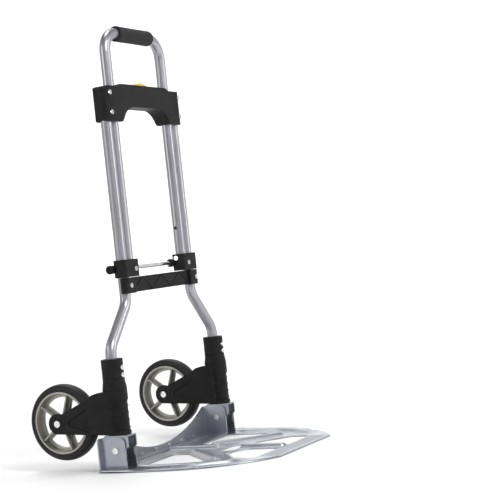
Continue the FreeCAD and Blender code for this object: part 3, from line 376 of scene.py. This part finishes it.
def rear_corner(corner, down, inward, steps=8):
    """An arc from below a rear corner round to the rear edge."""
    centre = Vector(corner) + (Vector(down) + Vector(inward)) * REAR_TURN
    angles = [math.pi / 2 * step / steps for step in range(steps + 1)]
    return [centre - (Vector(inward) * math.cos(angle) + Vector(down) * math.sin(angle)) * REAR_TURN
            for angle in angles]


def plate_outline():
    corners = [(-PLATE_HALF, PLATE_BACK), (-PLATE_HALF, -PLATE_TURN), (-SHOULDER_HALF, -SHOULDER_Y),
               (-TIP_HALF, -PLATE_TIP), (TIP_HALF, -PLATE_TIP), (SHOULDER_HALF, -SHOULDER_Y),
               (PLATE_HALF, -PLATE_TURN), (PLATE_HALF, PLATE_BACK)]
    points = rear_corner(corners[0], (0, -1), (1, 0))[::-1]
    points += arc_points(corners[1], corners[2], SIDE_RADIUS, 24)
    points += arc_points(corners[2], corners[3], NOSE_RADIUS, 36)
    points += [Vector(corners[3])]
    points += arc_points(corners[4], corners[5], NOSE_RADIUS, 36)
    points += arc_points(corners[5], corners[6], SIDE_RADIUS, 24)
    points += [Vector(corners[6])]
    points += rear_corner(corners[7], (0, -1), (-1, 0))
    return points


SIDE_HOLE = [(142, -24), (52, -24), (46, -30), (46, -52), (118, -124), (136, -122), (150, -98), (150, -34)]
FRONT_HOLE = [(104, -172), (56, -132), (30, -134), (14, -150), (14, -205), (104, -205)]
MIDDLE_HOLE = [(-20, -100), (-32, -112), (-24, -124), (24, -124), (32, -112), (20, -100)]


def plate_holes():
    holes = [rounded([Vector(corner) * MM for corner in MIDDLE_HOLE], 0.006)]
    for sign in (1, -1):
        for corners in (SIDE_HOLE, FRONT_HOLE):
            holes.append(rounded([Vector((sign * x, y)) * MM for x, y in corners], 0.009))
    return holes


SHEET_TOP, SHEET_THICK = 2.6 * MM, 1.2 * MM
PRESSED_HIGH = 5.4 * MM
BEADS = [((0, 4), (0, -84)), ((0, -136), (0, -206))] + [
    ((sign * 34, -58), (sign * 118, -142)) for sign in (1, -1)]


def plate_height(place, outline, holes):
    """The pressed sheet's top: raised border band, beads, turned edges, rear rim and toothed lip."""
    across, along = np.abs(place[:, 0]), place[:, 1]
    height = np.full(len(place), SHEET_TOP)
    edge = outline_distance(place, outline)
    sides = smooth_step(-along, 0.024, 0.044) * (1 - smooth_step(-along, 0.186, 0.206))
    band = smooth_step(edge, 0.008, 0.0135) * (1 - smooth_step(edge, 0.029, 0.037))
    crown = 1 - 0.25 * ((edge - 0.021) / 0.012) ** 2
    height += sides * band * crown * PRESSED_HIGH
    for first, last in BEADS:
        gap = segment_distance(place, Vector(first) * MM, Vector(last) * MM)
        height = np.maximum(height, SHEET_TOP + PRESSED_HIGH * (1 - smooth_step(gap, 0.001, 0.0105)))
    hole_edge = np.min([outline_distance(place, hole) for hole in holes], axis=0)
    height -= 1.4 * MM * (1 - smooth_step(hole_edge, 0.0, 0.005)) * (height < SHEET_TOP + 2 * MM)
    height += 0.7 * MM * np.sin(np.pi * smooth_step(edge, -0.001, 0.008))
    rim = smooth_step(edge, -0.001, 0.004) * (1 - smooth_step(edge, 0.005, 0.0085))
    rim *= 1 - smooth_step(-along, 0.030, 0.046)
    height += rim * 3.2 * MM
    height -= 1.2 * MM * (1 - smooth_step(edge, 0.0, 0.0035)) * smooth_step(-along, 0.004, 0.024)
    lip = smooth_step(-along, 0.212, 0.216) * (1 - smooth_step(-along, 0.240, 0.244))
    lip *= 1 - smooth_step(across, TIP_HALF - 0.004, TIP_HALF + 0.006)
    height += 1.0 * MM * lip * (0.5 + 0.5 * np.cos(2 * np.pi * place[:, 0] / 0.0062))
    return height


def plate_lattice():
    """Inner mesh points: a staggered lattice, closer across the toothed lip."""
    coarse, coarse_end, coarse_half = 0.0032, 0.208, 70
    fine, fine_half = 0.00155, 110
    lip_start, lip_step, lip_long = 0.2095, 0.003, 0.043
    lattice = []
    for row in range(int((PLATE_BACK + PLATE_TIP) / coarse) + 1):
        y = PLATE_BACK - row * coarse
        if y < -coarse_end:
            continue
        shift = coarse / 2 if row % 2 else 0
        lattice += [(x * coarse + shift, y) for x in range(-coarse_half, coarse_half + 1)]
    for row in range(int(lip_long / lip_step)):
        lattice += [(x * fine, -lip_start - row * lip_step) for x in range(-fine_half, fine_half + 1)]
    return np.array(lattice)


def toe_plate():
    """The toe plate as one pressed sheet, its border, beads and holes in the mesh."""
    outline, holes = plate_outline(), plate_holes()
    fine_outline = resampled(outline, 0.003)
    fine_holes = [resampled(hole, 0.003) for hole in holes]
    loops = [fine_outline] + fine_holes
    points, edges = [], []
    for loop in loops:
        start = len(points)
        points += loop
        edges += [(start + i, start + (i + 1) % len(loop)) for i in range(len(loop))]
    grid = plate_lattice()
    clearance = 1.2 * MM
    clear = outline_distance(grid, fine_outline) > clearance
    for hole in fine_holes:
        clear &= outline_distance(grid, hole) > clearance
    points += [Vector(place) for place in grid[clear & within(grid, fine_outline)]]
    found, _, faces, *_ = geometry.delaunay_2d_cdt(points, edges, [], 0, 0.00001)
    plan = np.array([tuple(point) for point in found])
    middles = np.array([plan[list(face)].mean(axis=0) for face in faces])
    keep = within(middles, fine_outline)
    for hole in fine_holes:
        keep &= ~within(middles, hole)
    heights = plate_height(plan, fine_outline, fine_holes)
    mesh = bpy.data.meshes.new("toe_plate_pressing")
    mesh.from_pydata([(x, y, z) for (x, y), z in zip(plan, heights)], [],
                     [face for face, kept in zip(faces, keep) if kept])
    builder = bmesh.new()
    builder.from_mesh(mesh)
    loose = [vert for vert in builder.verts if not vert.link_faces]
    bmesh.ops.delete(builder, geom=loose, context="VERTS")
    bmesh.ops.recalc_face_normals(builder, faces=builder.faces)
    if sum(face.normal.z for face in builder.faces) < 0:
        bmesh.ops.reverse_faces(builder, faces=builder.faces)
    builder.to_mesh(mesh)
    builder.free()
    piece = add_piece("toe_plate_pressing", mesh, "plate", "plate", ["toe_plate"])
    thick = piece.modifiers.new("sheet", "SOLIDIFY")
    thick.thickness = SHEET_THICK
    thick.offset = -1
    apply_modifiers(piece)


def within(place, outline):
    """Which of many places lie inside a closed outline."""
    ends = np.array([tuple(point) for point in outline])
    inside = np.zeros(len(place), bool)
    for (x1, y1), (x2, y2) in zip(ends, np.roll(ends, -1, axis=0)):
        crosses = (y1 > place[:, 1]) != (y2 > place[:, 1])
        if y1 != y2:
            inside ^= crosses & (place[:, 0] < (x2 - x1) * (place[:, 1] - y1) / (y2 - y1) + x1)
    return inside


toe_plate()


# ---------------------------------------------------------------- turned pieces
def lathe(name, profile, middle, segments=96):
    """A closed ring of (radius, along x) points turned about an X axis through the middle."""
    mesh = bpy.data.meshes.new(name)
    builder = bmesh.new()
    rings = []
    for index in range(segments):
        angle = 2 * math.pi * index / segments
        turned = math.cos(angle), math.sin(angle)
        rings.append([builder.verts.new(Vector(middle) + Vector((x, radius * turned[0], radius * turned[1])))
                      for radius, x in profile])
    for here, after in zip(rings, rings[1:] + rings[:1]):
        for i in range(len(profile)):
            j = (i + 1) % len(profile)
            builder.faces.new((here[i], here[j], after[j], after[i]))
    bmesh.ops.recalc_face_normals(builder, faces=builder.faces)
    builder.to_mesh(mesh)
    builder.free()
    return mesh


def foam_grip():
    """The foam sleeve: slightly barrelled, with lips rolled in against the tube at its ends."""
    low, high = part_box("grip")
    middle = (low + high) / 2
    half, radius = (high.x - low.x) / 2, (high.z - low.z) / 2
    bore = radius - 4.0 * MM
    ends = [(bore, half - 2.2 * MM), (bore + 0.8 * MM, half - 0.6 * MM), (bore + 1.8 * MM, half),
            (bore + 2.6 * MM, half - 0.3 * MM), (bore + 3.4 * MM, half - 1.2 * MM),
            (radius - 0.15 * MM, half - 2.6 * MM), (radius, half - 5 * MM)]
    belly = [(radius - 0.25 * MM * math.sin(math.pi * step / 24), half * (1 - step / 12) * 0.9)
             for step in range(1, 24)]
    profile = ends + belly + [(r, -x) for r, x in reversed(ends)]
    piece = add_piece("grip_foam", lathe("grip_foam", profile, middle), "handle", "foam", ["grip"])


def tyre(side):
    """The tyre: bead against the rim lip, bulged wall, a line at the shoulder and a rounded tread."""
    low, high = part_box("tyre_" + side)
    middle = (low + high) / 2
    radius, half = (high.z - low.z) / 2, (high.x - low.x) / 2
    wall = [(-13.4, 11.0), (-12.1, 11.2), (-11.8, 12.3), (-11.0, 12.5), (-9.2, 12.5), (-8.9, 12.1),
            (-8.5, 12.1), (-8.2, 12.45), (-6.4, 12.35), (-4.9, 11.7), (-4.2, 11.0), (-4.05, 10.5),
            (-3.7, 10.3), (-3.3, 10.4), (-2.6, 10.2), (-1.9, 9.2), (-1.2, 7.6), (-0.65, 5.4),
            (-0.25, 3.0), (-0.05, 1.2)]
    widest = 12.5 * MM
    scale = half / widest
    profile = [(radius + r * MM, x * MM * scale) for r, x in wall]
    profile += [(r, -x) for r, x in reversed(profile)]
    add_piece("tyre_tread_" + side, lathe("tyre_tread_" + side, profile, middle, 128),
              "wheel_" + side, "tyre", ["tyre_" + side])


foam_grip()
for side in ("right", "left"):
    tyre(side)


def spring_coil():
    """The return spring between the housing and the button, which shortens in use; here a fixed copy of its
    CAD mesh.
    """
    node = NODES["button_spring"]
    mesh = node.data.copy()
    mesh.transform(node.matrix_world)
    coil = add_piece("button_spring_coil", mesh, None, SLOT_OF["button_spring"], ["button_spring"])
    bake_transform(coil)


spring_coil()


# ---------------------------------------------------------------- camera, floor and light
def add_object(name, data, location=(0, 0, 0)):
    obj = bpy.data.objects.new(name, data)
    obj.location = location
    bpy.context.scene.collection.objects.link(obj)
    return obj


CAMERA_PLACE = Vector((-2.0496, -1.2494, 0.3362))
CAMERA_LOOK = Vector((0.8875, 0.4608, -0.0019)).normalized()
CAMERA_RIGHT = Vector((0.4578, -0.8823, -0.1090))
CAMERA_LENS = 99.6
camera_data = bpy.data.cameras.new("camera")
camera_data.sensor_width = 36.0
camera_data.lens = CAMERA_LENS
camera_data.clip_end = 50.0
camera = add_object("camera", camera_data)
right = (CAMERA_RIGHT - CAMERA_LOOK * CAMERA_RIGHT.dot(CAMERA_LOOK)).normalized()
up = right.cross(CAMERA_LOOK)
camera_turn = Matrix((right, up, -CAMERA_LOOK)).transposed().to_4x4()
camera.matrix_world = Matrix.Translation(CAMERA_PLACE) @ camera_turn
bpy.context.scene.camera = camera


def floor():
    """A large pale floor curving up into a backdrop all round, so that no horizon shows."""
    mesh = bpy.data.meshes.new("studio_floor")
    builder = bmesh.new()
    segments, rise_steps = 96, 12
    flat_end, rise_start, rise_radius, wall_top = 2.2, 4.0, 2.0, 6.0
    profile = [(flat_end, 0.0), (rise_start, 0.0)]
    for step in range(1, rise_steps + 1):
        angle = math.radians(90 * step / rise_steps)
        profile.append((rise_start + rise_radius * math.sin(angle), rise_radius * (1 - math.cos(angle))))
    profile.append((rise_start + rise_radius, wall_top))
    rings = []
    for radius, height in profile:
        rings.append([builder.verts.new((radius * math.cos(2 * math.pi * i / segments),
                                         radius * math.sin(2 * math.pi * i / segments), height))
                      for i in range(segments)])
    middle = builder.verts.new((0, 0, 0))
    for i in range(segments):
        after = (i + 1) % segments
        builder.faces.new((middle, rings[0][i], rings[0][after]))
        for inner, outer in zip(rings, rings[1:]):
            builder.faces.new((inner[i], outer[i], outer[after], inner[after]))
    builder.to_mesh(mesh)
    builder.free()
    for face in mesh.polygons:
        face.use_smooth = True
    obj = add_object("studio_floor", mesh)
    shader = Shader("studio_paper", (0.9, 0.9, 0.9), 0.75)
    shader.link(shader.ramp(shader.noise(3, 2), [(0.3, (0.90, 0.90, 0.90)), (0.7, (0.92, 0.92, 0.92))]),
                "Base Color")
    mesh.materials.append(shader.material)


floor()


def area_light(name, place, aim, width, height, power):
    data = bpy.data.lights.new(name, "AREA")
    data.shape = "RECTANGLE"
    data.size = width
    data.size_y = height
    data.energy = power
    light = add_object(name, data, place)
    light.rotation_euler = (Vector(aim) - Vector(place)).to_track_quat("-Z", "Y").to_euler()


AIM = (0, 0, 0.35)
area_light("key_light", (-1.2, -2.4, 2.2), AIM, 0.9, 1.2, 54)
area_light("left_strip", (-2.4, 1.4, 1.2), AIM, 0.35, 2.0, 16)
area_light("right_strip", (1.2, -2.8, 1.2), AIM, 0.4, 2.2, 24)
area_light("top_light", (0.2, 0.2, 3.2), AIM, 1.1, 1.1, 28)
area_light("backdrop_light", (2.2, 1.4, 3.6), (4.6, 2.4, 1.0), 2.4, 1.2, 150)

world = bpy.data.worlds.new("studio_world")
world.use_nodes = True
world.node_tree.nodes["Background"].inputs["Color"].default_value = (1.0, 1.0, 1.0, 1.0)
world.node_tree.nodes["Background"].inputs["Strength"].default_value = 0.22
bpy.context.scene.world = world
bpy.context.scene.view_settings.view_transform = "Standard"
